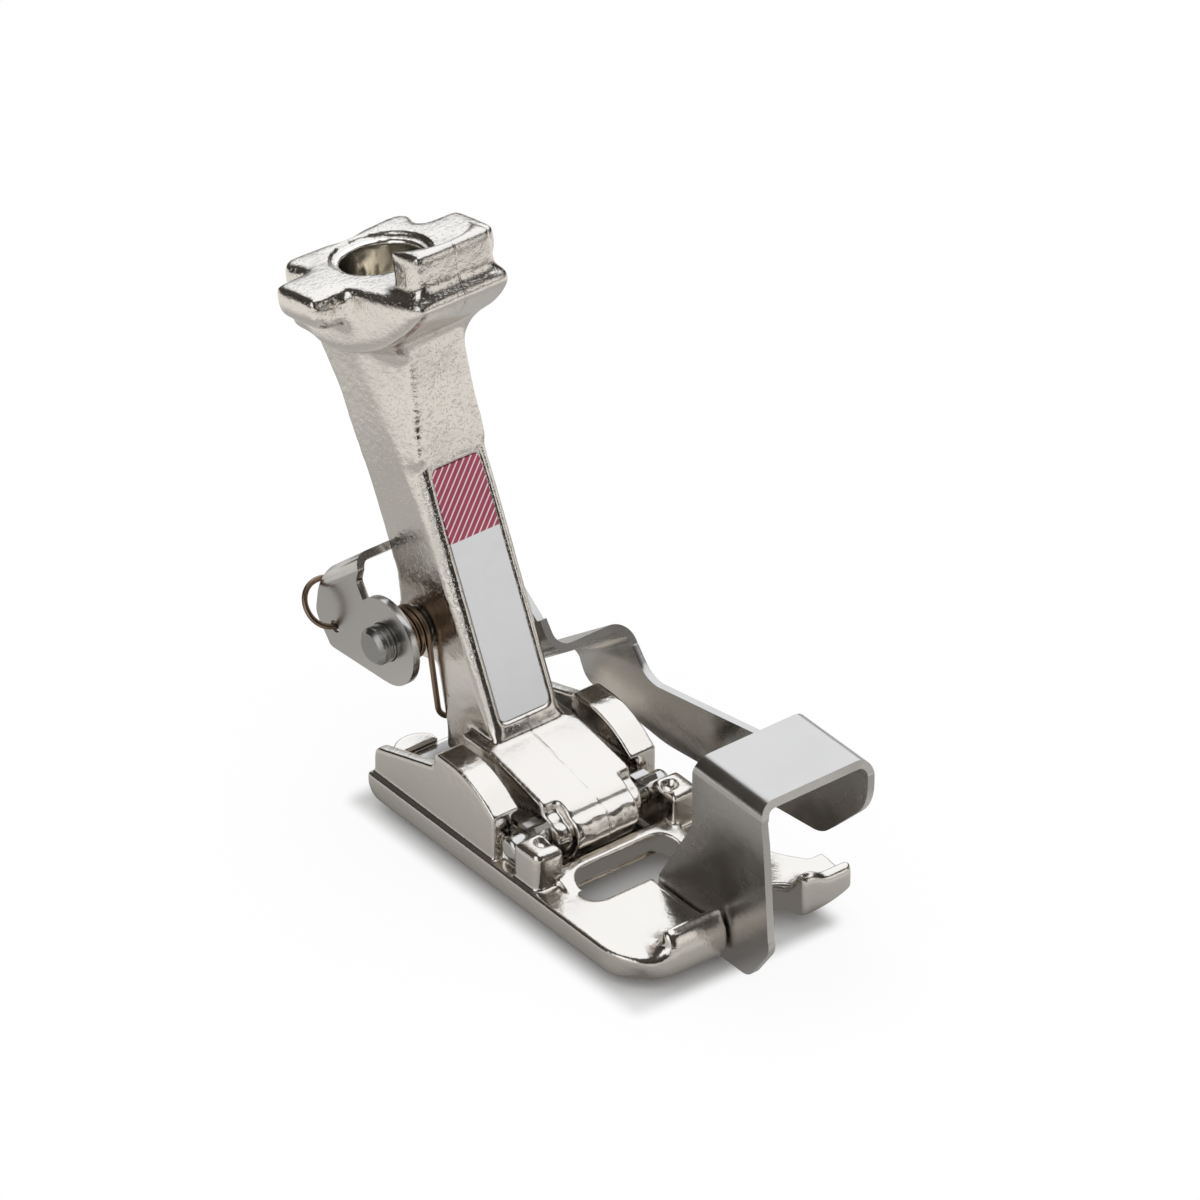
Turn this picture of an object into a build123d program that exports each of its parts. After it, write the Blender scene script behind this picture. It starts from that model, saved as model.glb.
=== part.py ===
from build123d import *
from math import acos, atan2, cos, hypot, pi, radians, sin
import os

# Sewing machine presser foot with a spring-loaded edge guide.
# Millimetres. +X is the sewer's right, -Y is the front with the toes, +Z is up.
# The origin is on the flat underside of the sole, straight below the sole's pin.
# The foot lies as it was set down: the sole is level and the shank leans back on it.

# Attitude of the three bodies
lean = 12.0  # degrees that the shank leans back from square to the sole
guide_drop = 12.0  # degrees that the guide hangs below square to the shank, against its stop
pivot_height = 2.9  # sole pin above the underside

# Sole casting
plate_thick = 1.6
sole_left = 6.45  # left side of the plate, from the middle plane
sole_right = 7.2  # right side of the plate
heel_reach = 13.0  # heel edge behind the pin
toe_reach = 13.2  # toe edge in front of the pin
left_corner = 3.8  # radius of the left front corner
right_toe_side = 9.7  # outer side of the flared right toe
right_toe_inner = 5.8
flare_start = 6.5  # where the right side starts to flare, in front of the pin
flare_lead = 1.3  # the flare ends this far behind the toe's edge
scoop_radius = 4.1  # round bay between blade slot and right toe
scoop_x = 1.9
scoop_ahead = 0.5  # centre of the bay, in front of the toe's edge
lip_height = 2.5  # top of the upturned toes
lip_depth = 0.9
lip_left = 3.9  # left end of the left lip
lip_sweep = 2.2  # length of the hollow that leads up to a lip
heel_round = 1.1
toe_round = 0.6
needle_left = 3.75
needle_right = 3.6
needle_front = 5.5
needle_back = 2.95
needle_corner = 1.2
slot_left = 0.3  # left wall of the slot for the blade
blade_side_gap = 0.1
cheek_outer = 6.1
cheek_inner = 4.15
cheek_front = 1.1
cheek_rear = 6.9
cheek_low = 4.6
cheek_top = 6.25
rail_thick = 0.8
rail_front_top = 5.1
rail_rear_top = 3.5
rail_inset = 0.25  # rail's end, from the heel edge
post_front = 3.1
post_rear = 0.85
post_top = 4.1
post_round = 0.5
dimple_radius = 0.55
seat_outer = 5.4
bar_width = 1.05
bar_top = 2.1
rim_width = 0.9  # raised rim at both ends of the needle opening
rim_run = 1.7  # length over which the rim runs down to the plate
funnel = 0.5
pocket_floor = 0.55
pocket_inset = 0.1  # the spring's bar reaches this far over the pocket
lobe_inner = 1.6
lobe_outer = 4.5
lobe_reach = 0.75
lobe_top = 2.35

# Sole pin
sole_pin_radius = 0.75
sole_pin_half = 5.9
sole_pin_round = 0.35
notch_gap = 0.05
pin_press_gap = 0.01

# Leaf spring
leaf_thick = 0.35
leaf_inner = 3.5
leaf_outer = 4.55
leaf_gap = 0.03
leaf_side_gap = 0.15
leaf_bar_width = 1.3
leaf_bar_gap = 0.05  # between the spring's bar and the heel lobes
tongue_reach = 0.95
tongue_curl = 0.4

# Shank casting, in its own frame: back from the sole pin, and up along the bore
knuckle_radius = 2.05
knuckle_half = 2.3
ear_radius = 1.35
arm_half = 3.3
arm_front_up = 2.05
stem_foot_back = 4.5
stem_foot_up = 4.1
stem_knee_back = 8.5
stem_knee_up = 21.0
stem_half_low = 2.55
stem_half_knee = 2.8
stem_half_top = 3.7
stem_rear_low = 9.7
heel_lug_back = 10.0
heel_lug_up = 2.4
boss_back = 10.94
boss_height = 10.1
boss_radius = 2.1
bore_back = 13.1
shank_height = 33.0
bore_radius = 2.5
bore_depth = 5.5
rebate_radius = 3.05
rebate_depth = 0.35
head_half = 4.46
head_front_half = 3.4
head_front = 8.4
head_rear = 3.9
head_belly = 4.85
ear_half = 6.9
ear_front = 2.35
ear_rear = 1.6
ear_thick = 2.4
ear_round = 1.2
ridge_half = 2.9
ridge_front = 7.9
ridge_ends = 5.1
ridge_middle = 7.05
ridge_height = 2.8

# Label
label_width = 3.6
label_length = 15.8
label_start = 1.2
label_recess = 0.3
label_thick = 0.2
label_gap = 0.05

# Guide, one folded sheet
sheet = 0.5
bend_radius = 0.55
left_cheek = 4.9  # middle of the sheet, from the middle plane
right_cheek = 3.3
lobe_radius = 2.8
hook_back = 4.9
hook_down = 1.55
hook_hole_radius = 0.4
bridge_top_back = 3.05  # the bridge's edges, behind and above the guide pin
bridge_top_up = 4.2
bridge_low_back = 5.9
bridge_low_up = 1.7
cheek_reach = 6.8
cheek_foot = 3.2
arm_low_ahead = 0.8  # the arm's edges, in front of and below the guide pin
arm_low_down = 5.0
arm_high_ahead = 5.7
arm_high_down = 1.3
arm_bend_radius = 1.2
side_plane = 8.5
strip_top = 4.2
strip_bottom = 7.7
arch_top = 1.65
arch_front = 28.9
arch_rear = 23.0
arch_trim = 0.7
blade_bottom = 11.1
blade_front = 29.7
blade_rear = 19.4

# Guide pin
guide_pin_radius = 1.2
guide_pin_proud = 1.1
rivet_proud = 0.4  # right end of the pin, past the right cheek
guide_pin_gap = 0.05
groove_depth = 0.15
groove_width = 0.25
groove_gap = 0.15
pin_chamfer = 0.3

# Torsion spring
wire_radius = 0.2
wire_sides = 8  # the round wire has an eight-sided section
coil_radius = 1.5
coil_pitch = 0.41
coil_turns = 3.25
coil_side_gap = 0.19
bar_gap = 0.03
bar_reach = 2.0  # end of the bar, right of the middle plane
leg_bend = 1.0
end_straight = 2.0  # straight run off the coil, before the wire turns in for its ring
end_bend = 3.0
ring_radius = 1.5
ring_angle = 46.0  # below level, from the ring's middle to the hook hole
ring_inside = 0.8  # how far the ring starts inside the cheek
ring_entry = 0.7
ring_round = 1.45
hook_proud = 0.25


flare_end = toe_reach - flare_lead
scoop_reach = toe_reach + scoop_ahead
rail_end = heel_reach - rail_inset
leaf_bar_rear = heel_reach - lobe_reach - leaf_bar_gap
leaf_bar_front = leaf_bar_rear - leaf_bar_width
pocket_rear = leaf_bar_front + pocket_inset
pivot = Vector(0, 0, pivot_height)


def leaning_plane(origin, angle):
    """Side view plane: local x runs back, local y runs up, both leaned back by the angle."""
    a = radians(angle)
    return Plane(origin=origin, x_dir=(0, cos(a), -sin(a)), z_dir=(1, 0, 0))


shank_side = leaning_plane(pivot, lean)
guide_pin_at = shank_side.from_local_coords(Vector(boss_back, boss_height, 0))
guide_side = leaning_plane(guide_pin_at, lean - guide_drop)
shank_back = shank_side.x_dir
shank_up = shank_side.y_dir
guide_back = guide_side.x_dir
guide_up = guide_side.y_dir


def on_shank(back, up, x=0):
    return shank_side.from_local_coords(Vector(back, up, x))


def on_guide(back, up, x=0):
    return guide_side.from_local_coords(Vector(back, up, x))


# Sole: the plate in plan
blade_left = slot_left + blade_side_gap
slot_right = blade_left + sheet + blade_side_gap
scoop_at_slot = scoop_reach - (scoop_radius**2 - (scoop_x - slot_right) ** 2) ** 0.5
scoop_at_toe = scoop_reach - (scoop_radius**2 - (right_toe_inner - scoop_x) ** 2) ** 0.5
scoop_middle = radians(62)

# Bearing posts, left and right: blocks with round outer corners and a dimple on top
posts = {}
for side in (-1, 1):
    with BuildPart() as post:
        with BuildSketch(Plane.XY.offset(plate_thick / 2)):
            with Locations((side * (cheek_inner + cheek_outer) / 2, -(post_front + post_rear) / 2)):
                Rectangle(cheek_outer - cheek_inner, post_front - post_rear)
        extrude(amount=post_top - plate_thick / 2)
        outer_corners = post.edges().filter_by(Axis.Z).sort_by(Axis.X)
        outer_corners = outer_corners[:2] if side < 0 else outer_corners[2:]
        fillet(outer_corners.sort_by(Axis.Y)[0], radius=post_round)
        fillet(post.edges().group_by(Axis.Z)[-1], radius=post_round * 0.9)
        with Locations((side * (cheek_inner + dimple_radius), -post_front * 0.6, post_top)):
            Sphere(dimple_radius, mode=Mode.SUBTRACT)
    posts[side] = post.part

with BuildPart() as sole:
    with BuildSketch(Plane.XY):
        with BuildLine():
            Line((-sole_left, heel_reach), (-sole_left, left_corner - toe_reach))
            RadiusArc(
                (-sole_left, left_corner - toe_reach),
                (left_corner - sole_left, -toe_reach),
                -left_corner,
            )
            Line((left_corner - sole_left, -toe_reach), (slot_left, -toe_reach))
            Line((slot_left, -toe_reach), (slot_left, -needle_front))
            Line((slot_left, -needle_front), (slot_right, -needle_front))
            Line((slot_right, -needle_front), (slot_right, -scoop_at_slot))
            ThreePointArc(
                (slot_right, -scoop_at_slot),
                (
                    scoop_x + scoop_radius * cos(scoop_middle),
                    scoop_radius * sin(scoop_middle) - scoop_reach,
                ),
                (right_toe_inner, -scoop_at_toe),
            )
            Line((right_toe_inner, -scoop_at_toe), (right_toe_inner, -toe_reach))
            Line((right_toe_inner, -toe_reach), (right_toe_side, -toe_reach))
            Line((right_toe_side, -toe_reach), (right_toe_side, -flare_end))
            Spline(
                (right_toe_side, -flare_end),
                (sole_right, -flare_start),
                tangents=((-0.25, 1), (0, 1)),
            )
            Line((sole_right, -flare_start), (sole_right, heel_reach))
            Line((sole_right, heel_reach), (-sole_left, heel_reach))
        make_face()
    extrude(amount=plate_thick)
    right_corners = sole.edges().filter_by(Axis.Z).filter_by(
        lambda edge: edge.center().X > slot_right and edge.center().Y < lip_depth / 2 - toe_reach
    )
    fillet(right_corners, radius=lip_depth / 2)

    # The toes turn up into a rounded lip that keeps the cloth from catching
    with BuildSketch(Plane.YZ):
        with BuildLine():
            Polyline(
                (-toe_reach + lip_depth + lip_sweep, plate_thick),
                (-toe_reach + lip_depth + lip_sweep, plate_thick / 2),
                (-toe_reach, plate_thick / 2),
                (-toe_reach, lip_height - lip_depth / 2),
            )
            ThreePointArc(
                (-toe_reach, lip_height - lip_depth / 2),
                (-toe_reach + lip_depth / 2, lip_height),
                (-toe_reach + lip_depth, lip_height - lip_depth / 2),
            )
            Spline(
                (-toe_reach + lip_depth, lip_height - lip_depth / 2),
                (-toe_reach + lip_depth + lip_sweep, plate_thick),
                tangents=((0.3, -1), (1, 0)),
            )
        make_face()
    lips = extrude(amount=right_toe_side + sole_left, both=True, mode=Mode.PRIVATE)
    with BuildSketch(Plane.XY):
        lip_room_length = 2 * (lip_depth + lip_sweep)
        for lip_from, lip_to in ((-lip_left, slot_left), (right_toe_inner, right_toe_side)):
            with Locations(((lip_from + lip_to) / 2, lip_room_length / 2 - toe_reach)):
                RectangleRounded(lip_to - lip_from, lip_room_length, radius=lip_depth / 2)
    lip_room = extrude(amount=2 * lip_height, mode=Mode.PRIVATE)
    add(lips & lip_room)

    # Cheeks and the low rails behind them, left and right
    for side in (-1, 1):
        with BuildSketch(Plane.YZ.offset(side * cheek_inner)):
            with BuildLine():
                Polyline(
                    (cheek_rear, plate_thick),
                    (cheek_front, plate_thick),
                    (cheek_front, cheek_low),
                    (cheek_front + 0.45, cheek_low + 0.3),
                )
                ThreePointArc(
                    (cheek_front + 0.45, cheek_low + 0.3),
                    (cheek_front + 1.85, cheek_top - 0.5),
                    (cheek_front + 4.0, cheek_top),
                )
                Polyline(
                    (cheek_front + 4.0, cheek_top),
                    (cheek_rear - 0.35, cheek_top),
                    (cheek_rear, cheek_top - 0.3),
                    (cheek_rear, plate_thick),
                )
            make_face()
        extrude(amount=side * (cheek_outer - cheek_inner))
        with BuildSketch(Plane.YZ.offset(side * (cheek_outer - rail_thick))):
            with BuildLine():
                Polyline(
                    (cheek_rear - 0.2, plate_thick / 2),
                    (cheek_rear - 0.2, rail_front_top + 0.6),
                    (cheek_rear + 0.2, rail_front_top),
                    (rail_end - 0.5, rail_rear_top),
                )
                RadiusArc(
                    (rail_end - 0.5, rail_rear_top),
                    (rail_end, rail_rear_top - 0.7),
                    0.7,
                )
                Polyline(
                    (rail_end, rail_rear_top - 0.7),
                    (rail_end, plate_thick / 2),
                    (cheek_rear - 0.2, plate_thick / 2),
                )
            make_face()
        extrude(amount=side * rail_thick)

        # Bearing post in front of the pin, and the seat that the pin lies in
        add(posts[side])
        with BuildSketch(Plane.YZ.offset(side * cheek_inner)):
            with Locations(((cheek_front - post_rear) / 2, pivot_height / 2)):
                Rectangle(cheek_front + post_rear, pivot_height)
        extrude(amount=side * (seat_outer - cheek_inner))

    # Notches for the pin, open upward
    with BuildSketch(Plane.YZ):
        with Locations((0, pivot_height)):
            Circle(sole_pin_radius + notch_gap)
        with Locations((0, pivot_height + cheek_top / 2)):
            Rectangle(2 * (sole_pin_radius + notch_gap), cheek_top)
    extrude(amount=cheek_outer + 1, both=True, mode=Mode.SUBTRACT)

    # Grooves under the cheeks' inner edges, where the leaf spring's arms run
    groove_outer = leaf_outer + leaf_side_gap
    groove_top = pivot_height + sole_pin_radius + 2 * leaf_thick
    with BuildSketch(Plane.XY.offset(plate_thick)):
        for side in (-1, 1):
            with Locations((side * (groove_outer + leaf_inner) / 2, cheek_rear / 2 + 1)):
                Rectangle(groove_outer - leaf_inner, cheek_rear)
    extrude(amount=groove_top - plate_thick, mode=Mode.SUBTRACT)

    # Pocket under the knuckle and the arm
    pocket_front = needle_back - bar_width
    with BuildSketch(Plane.XY.offset(pocket_floor)):
        with Locations((0, (pocket_rear - pocket_front) / 2)):
            Rectangle(2 * cheek_inner, pocket_rear + pocket_front)
    extrude(amount=plate_thick, mode=Mode.SUBTRACT)

    # Rounded bar behind the needle opening, with a rim that runs down beside both its ends
    rim_left = -needle_left - rim_width
    rim_right = needle_right + rim_width
    with BuildSketch(Plane.XY.offset(pocket_floor)):
        with BuildLine():
            FilletPolyline(
                (rim_left, -needle_back - rim_run),
                (rim_left, bar_width - needle_back),
                (rim_right, bar_width - needle_back),
                (rim_right, -needle_back - rim_run),
                radius=needle_corner,
            )
            Line((rim_right, -needle_back - rim_run), (rim_left, -needle_back - rim_run))
        make_face()
    rim_plan = extrude(amount=bar_top, mode=Mode.PRIVATE)
    with BuildSketch(Plane.YZ):
        with BuildLine():
            Line((bar_width - needle_back, 0), (bar_width - needle_back, bar_top - bar_width / 2))
            ThreePointArc(
                (bar_width - needle_back, bar_top - bar_width / 2),
                (bar_width * (0.5 + 0.5 * sin(pi / 4)) - needle_back, bar_top - 0.15 * bar_width),
                (bar_width / 2 - needle_back, bar_top),
            )
            Spline(
                (bar_width / 2 - needle_back, bar_top),
                (-needle_back - rim_run, plate_thick),
                tangents=((-1, 0), (-1, -0.1)),
            )
            Line((-needle_back - rim_run, plate_thick), (-needle_back - rim_run, 0))
            Line((-needle_back - rim_run, 0), (bar_width - needle_back, 0))
        make_face()
    rim_side = extrude(amount=2 * needle_left, both=True, mode=Mode.PRIVATE)
    add(rim_plan & rim_side)

    # Needle opening with rounded corners and a funnel at its front and left
    needle_x = (needle_right - needle_left) / 2
    with BuildSketch(Plane.XY.offset(plate_thick)):
        with Locations((needle_x - funnel / 2, -needle_front + needle_corner - funnel / 2)):
            RectangleRounded(
                needle_left + needle_right + funnel,
                2 * needle_corner + funnel,
                radius=needle_corner,
            )
    extrude(amount=-funnel, taper=40, mode=Mode.SUBTRACT)
    with BuildSketch(Plane.XY):
        with Locations((needle_x, -(needle_back + needle_front) / 2)):
            RectangleRounded(
                needle_left + needle_right, needle_front - needle_back, radius=needle_corner
            )
    extrude(amount=2 * plate_thick, mode=Mode.SUBTRACT)

    # Two rounded lobes on the heel
    for side in (-1, 1):
        with BuildSketch(Plane.XY.offset(plate_thick / 2)):
            with BuildLine():
                Polyline(
                    (side * lobe_inner, heel_reach),
                    (side * lobe_inner, heel_reach - lobe_reach),
                    (side * lobe_outer, heel_reach - lobe_reach),
                    (side * lobe_outer, heel_reach),
                )
                ThreePointArc(
                    (side * lobe_outer, heel_reach),
                    (side * (lobe_inner + lobe_outer) / 2, heel_reach + lobe_reach),
                    (side * lobe_inner, heel_reach),
                )
            make_face()
        extrude(amount=lobe_top - plate_thick / 2)

    # The heel's lower edge is rounded up, the toes' lower edge is broken
    for edge_y, radius in ((heel_reach, heel_round), (-toe_reach, toe_round)):
        inward = -edge_y / abs(edge_y)
        with BuildSketch(Plane.YZ):
            with BuildLine():
                Polyline(
                    (edge_y, radius),
                    (edge_y - inward, radius),
                    (edge_y - inward, -1),
                    (edge_y + inward * radius, -1),
                    (edge_y + inward * radius, 0),
                )
                ThreePointArc(
                    (edge_y + inward * radius, 0),
                    (edge_y + inward * radius * (1 - sin(pi / 4)), radius * (1 - sin(pi / 4))),
                    (edge_y, radius),
                )
            make_face()
        extrude(amount=right_toe_side, both=True, mode=Mode.SUBTRACT)
sole.part.label = "sole"

# Sole pin: plain steel cross pin
with BuildPart() as sole_pin:
    with BuildSketch(Plane.YZ):
        with Locations((0, pivot_height)):
            Circle(sole_pin_radius)
    extrude(amount=sole_pin_half, both=True)
    fillet(sole_pin.edges().filter_by(GeomType.CIRCLE), radius=sole_pin_round)
sole_pin.part.label = "sole_pin"

# Leaf spring: bar at the heel, two arms that rise forward and press on the pin's ends
leaf_low = plate_thick + leaf_thick / 2
leaf_high = pivot_height + sole_pin_radius + leaf_gap + leaf_thick / 2
with BuildPart() as leaf_spring:
    with BuildSketch(Plane.YZ):
        with BuildLine() as leaf_line:
            FilletPolyline(
                (leaf_bar_rear, leaf_low),
                (leaf_bar_front, leaf_low),
                (0.35, leaf_high),
                (-0.35, leaf_high),
                (-tongue_reach, leaf_high + tongue_curl),
                radius=0.6,
            )
        trace(leaf_line.line, line_width=leaf_thick)
    extrude(amount=leaf_outer, both=True)
    with BuildSketch(Plane.XY):
        with Locations((0, (leaf_bar_front - 2 * tongue_reach) / 2)):
            Rectangle(2 * leaf_inner, leaf_bar_front + 2 * tongue_reach)
    extrude(amount=3 * pivot_height, mode=Mode.SUBTRACT)
leaf_spring.part.label = "leaf_spring"

# Shank: the stem between the knee and the head, cut to its front view outline
with BuildPart() as stem:
    with BuildSketch(shank_side):
        with BuildLine():
            Polyline(
                (stem_foot_back, stem_foot_up),
                (stem_knee_back, stem_knee_up),
                (stem_knee_back + 0.1, shank_height - 1),
                (bore_back + 4.2, shank_height - 1),
                (bore_back + 3.8, shank_height - 5.2),
            )
            ThreePointArc(
                (bore_back + 3.8, shank_height - 5.2),
                (bore_back + 0.8, shank_height - 13.2),
                (boss_back + 1.5, boss_height + 3.3),
            )
            Polyline(
                (boss_back + 1.5, boss_height + 3.3),
                (boss_back + boss_radius * 0.8, boss_height),
                (stem_rear_low, boss_height - boss_radius),
                (stem_rear_low, stem_foot_up),
                (heel_lug_back, heel_lug_up),
                (stem_foot_back, 0.2),
                (stem_foot_back, stem_foot_up),
            )
        make_face()
        with Locations((boss_back, boss_height)):
            Circle(boss_radius)
    extrude(amount=2 * stem_half_top, both=True)
    front_view = Plane(origin=pivot, x_dir=(1, 0, 0), z_dir=-shank_back)
    with BuildSketch(front_view):
        with BuildLine():
            Polyline(
                (stem_half_knee, stem_knee_up),
                (stem_half_low, stem_foot_up),
                (stem_half_low, -1),
                (-stem_half_low, -1),
                (-stem_half_low, stem_foot_up),
                (-stem_half_knee, stem_knee_up),
            )
            for side in (-1, 1):
                Spline(
                    (side * stem_half_knee, stem_knee_up),
                    (side * stem_half_top, shank_height - 2.5),
                    tangents=((side * 0.02, 1), (side * 0.4, 1)),
                )
            Polyline(
                (-stem_half_top, shank_height - 2.5),
                (-stem_half_top, shank_height),
                (stem_half_top, shank_height),
                (stem_half_top, shank_height - 2.5),
            )
        make_face()
    extrude(amount=3 * bore_back, both=True, mode=Mode.INTERSECT)

# Head: plan outline cut to a boat-shaped belly
head_plane = Plane(origin=on_shank(bore_back, shank_height), x_dir=(1, 0, 0), z_dir=shank_up)
belly_side = leaning_plane(on_shank(bore_back, shank_height), lean)
with BuildPart() as head:
    with BuildSketch(belly_side):
        with BuildLine():
            Polyline(
                (-head_front - 0.1, -0.7),
                (-head_front - 0.1, 0),
                (head_rear + 0.4, 0),
                (head_rear + 0.4, -head_belly * 0.75),
            )
            Spline(
                (head_rear + 0.4, -head_belly * 0.75),
                (0.8, -head_belly),
                (-4.3, -head_belly * 0.8),
                (-head_front - 0.1, -0.7),
            )
        make_face()
    extrude(amount=ear_half, both=True)
    with BuildSketch(head_plane):
        with BuildLine():
            for side in (-1, 1):
                Polyline(
                    (0, -head_front),
                    (side * head_front_half, -head_front),
                    (side * head_half, -ear_front),
                    (side * head_half, ear_rear),
                    (side * (head_half - 0.25), ear_rear + 0.5),
                    (side * (head_half + 0.3), head_rear - 0.5),
                    (side * (head_half - 0.4), head_rear + 0.2),
                    (side * 0.9, head_rear),
                    (side * 0.4, head_rear - 0.3),
                    (0, head_rear - 0.3),
                )
        make_face()
    extrude(amount=-2 * head_belly, mode=Mode.INTERSECT)
    ear_view = Plane(
        origin=on_shank(bore_back + ear_rear, shank_height), x_dir=(1, 0, 0), z_dir=-shank_back
    )
    with BuildSketch(ear_view):
        with BuildLine():
            FilletPolyline(
                (-ear_half, 0),
                (-ear_half, -ear_thick),
                (ear_half, -ear_thick),
                (ear_half, 0),
                radius=ear_round,
            )
            Line((ear_half, 0), (-ear_half, 0))
        make_face()
    extrude(amount=ear_front + ear_rear)
    with BuildSketch(head_plane):
        with BuildLine():
            Polyline(
                (ridge_half, -ridge_ends),
                (ridge_half, -ridge_front),
                (-ridge_half, -ridge_front),
                (-ridge_half, -ridge_ends),
            )
            ThreePointArc(
                (-ridge_half, -ridge_ends),
                (0, -ridge_middle),
                (ridge_half, -ridge_ends),
            )
        make_face()
    extrude(amount=ridge_height)

# Arm and knuckle, joined with stem and head into the one casting
label_dir = Vector(stem_knee_back - stem_foot_back, stem_knee_up - stem_foot_up).normalized()
label_middle = label_start + label_length / 2
label_centre = on_shank(
    stem_foot_back + label_dir.X * label_middle,
    stem_foot_up + label_dir.Y * label_middle,
)
label_normal = (shank_up * label_dir.X - shank_back * label_dir.Y).normalized()
label_plane = Plane(origin=label_centre, x_dir=(1, 0, 0), z_dir=label_normal)

with BuildPart() as shank:
    add(stem.part)
    add(head.part)
    with BuildSketch(shank_side):
        with BuildLine():
            Polyline(
                (-0.4, 0),
                (-0.4, arm_front_up),
                (stem_foot_back, stem_foot_up),
                (stem_foot_back + 2.6, stem_foot_up + 0.5),
                (stem_foot_back + 2.6, 1.1),
                (1.1, -1.55),
                (-0.4, 0),
            )
        make_face()
    extrude(amount=arm_half, both=True)
    with BuildSketch(shank_side):
        with BuildLine():
            Polyline(
                (0, 0),
                (-knuckle_radius * 0.37, knuckle_radius * 0.929),
                (stem_foot_back, stem_foot_up),
                (stem_foot_back, 0),
                (0, 0),
            )
        make_face()
        Circle(knuckle_radius)
    extrude(amount=knuckle_half, both=True)
    with BuildSketch(shank_side):
        Circle(ear_radius)
    extrude(amount=arm_half, both=True)

    # Holes for both pins
    with BuildSketch(shank_side):
        Circle(sole_pin_radius + pin_press_gap)
        with Locations((boss_back, boss_height)):
            Circle(guide_pin_radius + pin_press_gap)
    extrude(amount=ear_half, both=True, mode=Mode.SUBTRACT)

    # Bore for the foot bar, with a turned rebate at its mouth
    with BuildSketch(head_plane):
        Circle(bore_radius)
    extrude(amount=-bore_depth, mode=Mode.SUBTRACT)
    with BuildSketch(head_plane):
        Circle(rebate_radius)
    extrude(amount=-rebate_depth, mode=Mode.SUBTRACT)

    # Recess for the label
    with BuildSketch(label_plane):
        RectangleRounded(label_width + 2 * label_gap, label_length + 2 * label_gap, radius=0.4)
    extrude(amount=-label_recess, mode=Mode.SUBTRACT)
shank.part.label = "shank"

with BuildPart() as label:
    with BuildSketch(label_plane.offset(-label_recess)):
        RectangleRounded(label_width, label_length, radius=0.35)
    extrude(amount=label_thick)
label.part.label = "label"

# Guide pin: turned, with chamfered ends and a groove outside the left cheek
pin_left = left_cheek + sheet / 2 + guide_pin_proud
pin_right = right_cheek + sheet / 2 + rivet_proud
groove_at = left_cheek + sheet / 2 + groove_gap
with BuildPart() as guide_pin:
    with BuildSketch(guide_side.offset(-pin_left)):
        Circle(guide_pin_radius)
    extrude(amount=pin_left + pin_right)
    chamfer(guide_pin.edges().filter_by(GeomType.CIRCLE), length=pin_chamfer)
    with BuildSketch(guide_side.offset(-groove_at)):
        Circle(guide_pin_radius + groove_depth)
        Circle(guide_pin_radius - groove_depth, mode=Mode.SUBTRACT)
    extrude(amount=-groove_width, mode=Mode.SUBTRACT)
guide_pin.part.label = "guide_pin"

# Guide, front part: a folded section run lengthwise, later cut to its side outlines
blade_mid = blade_left + sheet / 2
bend_mid = bend_radius + sheet / 2
front_section = Plane(origin=on_guide(-arch_front, 0), x_dir=(1, 0, 0), z_dir=guide_back)
with BuildPart() as arch_fold:
    with BuildSketch(front_section):
        with BuildLine() as arch_line:
            FilletPolyline(
                (blade_mid, 2 * blade_bottom),
                (blade_mid, sheet / 2 - arch_top),
                (side_plane, sheet / 2 - arch_top),
                (side_plane, 2 * blade_bottom),
                radius=bend_mid,
            )
        trace(arch_line.line, line_width=sheet)
    extrude(amount=arch_front - arm_low_ahead)
    extrude(arch_fold.faces().sort_by(Axis.Y)[0], amount=4 * sheet)

# Centre blade: runs in the slot of the sole and reaches just below the underside
arch_middle = (blade_mid + side_plane) / 2
with BuildPart() as blade:
    add(arch_fold.part)
    with BuildSketch(guide_side):
        with BuildLine():
            FilletPolyline(
                (-arch_rear, 2 * arch_top),
                (-arch_rear + arch_trim, arch_top - 2 * bend_radius),
                (-arch_rear + arch_trim, -2 * arch_top),
                (-blade_rear + sheet / 2, -blade_bottom * 0.775),
                (-blade_rear - sheet / 2, -blade_bottom * 0.92),
                (-blade_rear - 4 * sheet, -blade_bottom),
                (-blade_front + 4 * sheet, -blade_bottom),
                (-blade_front, -blade_bottom * 0.74),
                (-arch_front + arch_top, -arch_top),
                (-arch_front, arch_top - 2 * bend_radius),
                (-arch_front + 2 * sheet, 2 * arch_top),
                radius=(0.4, 1.5, 0.5, 0.5, 0.6, 1.2, 1.3, 1.2, 0.4),
            )
            Line((-arch_front + 2 * sheet, 2 * arch_top), (-arch_rear, 2 * arch_top))
        make_face()
    extrude(amount=arch_middle, mode=Mode.INTERSECT)

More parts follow.
